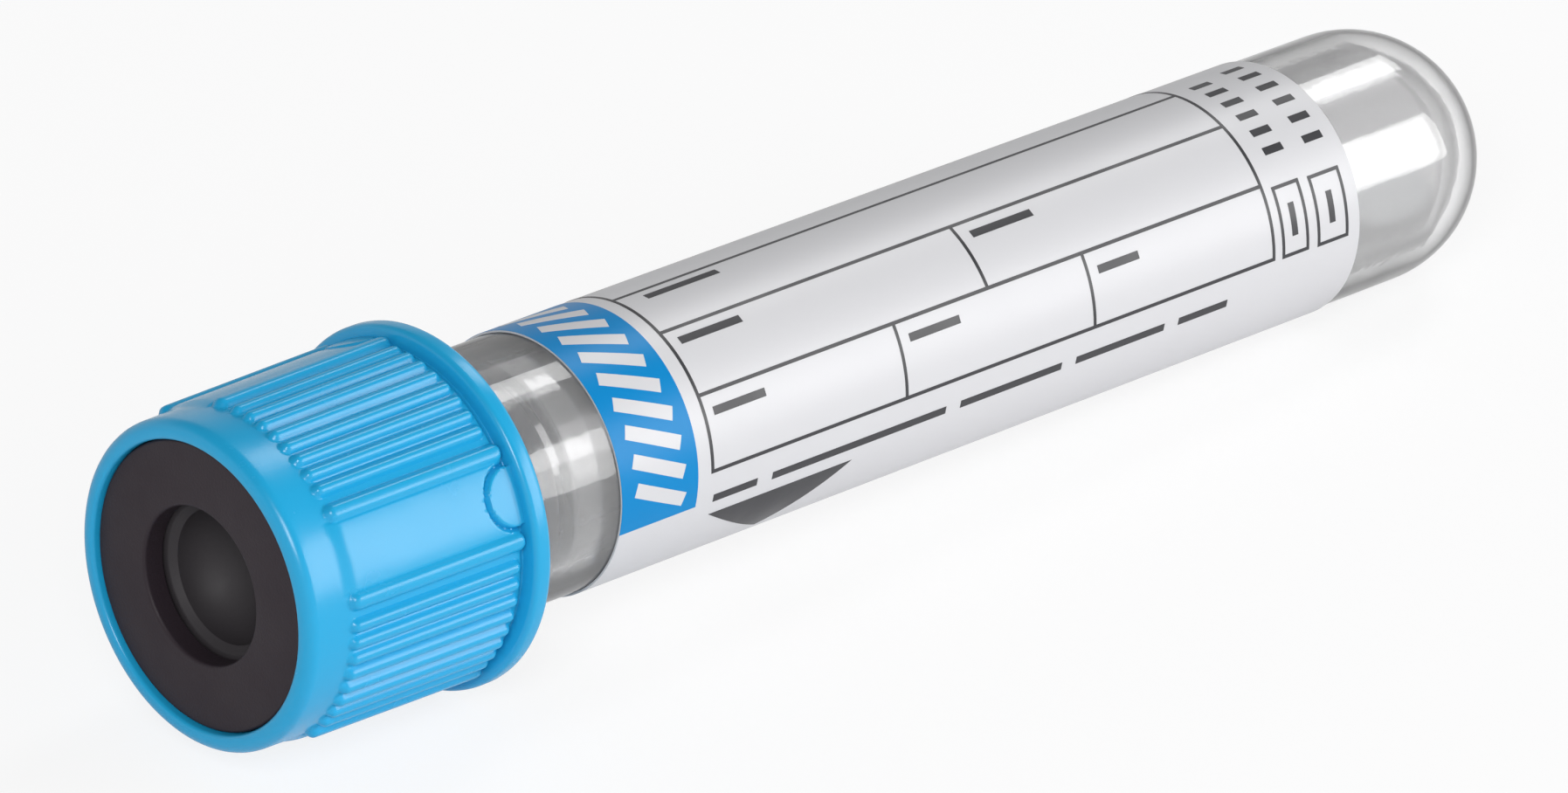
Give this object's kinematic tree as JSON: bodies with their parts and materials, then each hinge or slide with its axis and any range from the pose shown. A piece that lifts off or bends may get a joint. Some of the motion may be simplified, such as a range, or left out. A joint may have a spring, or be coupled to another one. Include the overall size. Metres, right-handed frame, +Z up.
{
  "type": "blood collection tube",
  "caption": "Round-ended double-walled plastic tube with a wrap-round label, a rubber stopper and a ribbed screw-off safety cap with an open ring in its front.",
  "frame": {"origin": "centre of the part's box in plan, on the surface that it lies on", "axes": "+Z up; +X from the cap towards the round end; the part lies at rest on the cap's collar and the round end, its axis 2.3 degrees down towards +X"},
  "size_m": [0.084, 0.0181, 0.0181],
  "materials": {
    "clear_tube": "clear, polished",
    "clear_liner": "clear, faintly cloudy",
    "label_paper": "printed film, satin",
    "solution": "clear water-like liquid",
    "stopper_rubber": "dark grey rubber, satin",
    "cap_blue": "moulded, glossy",
    "ring_black": "moulded, matte"
  },
  "bodies": {
    "tube": {"outer_tube": "clear_tube", "inner_tube": "clear_liner", "label": "label_paper", "citrate_solution": "solution"},
    "stopper": {"stopper": "stopper_rubber"},
    "cap": {"cap_shell": "cap_blue", "cap_ring": "ring_black"}
  },
  "joints": [
    {"name": "stopper_lift", "type": "slide", "parent": "tube", "child": "stopper", "axis": [-0.9992, 0, 0.0402], "range_m": [0, 0.012]},
    {"name": "cap_turn", "type": "hinge", "parent": "stopper", "child": "cap", "pos_m": [-0.04139, 0, 0.0096], "axis": [-0.9992, 0, 0.0402], "range_deg": [0, 540]}
  ],
  "couplings": [
    {"joint": "stopper_lift", "follows": "cap_turn", "m_per_rad": 0.0012732}
  ]
}
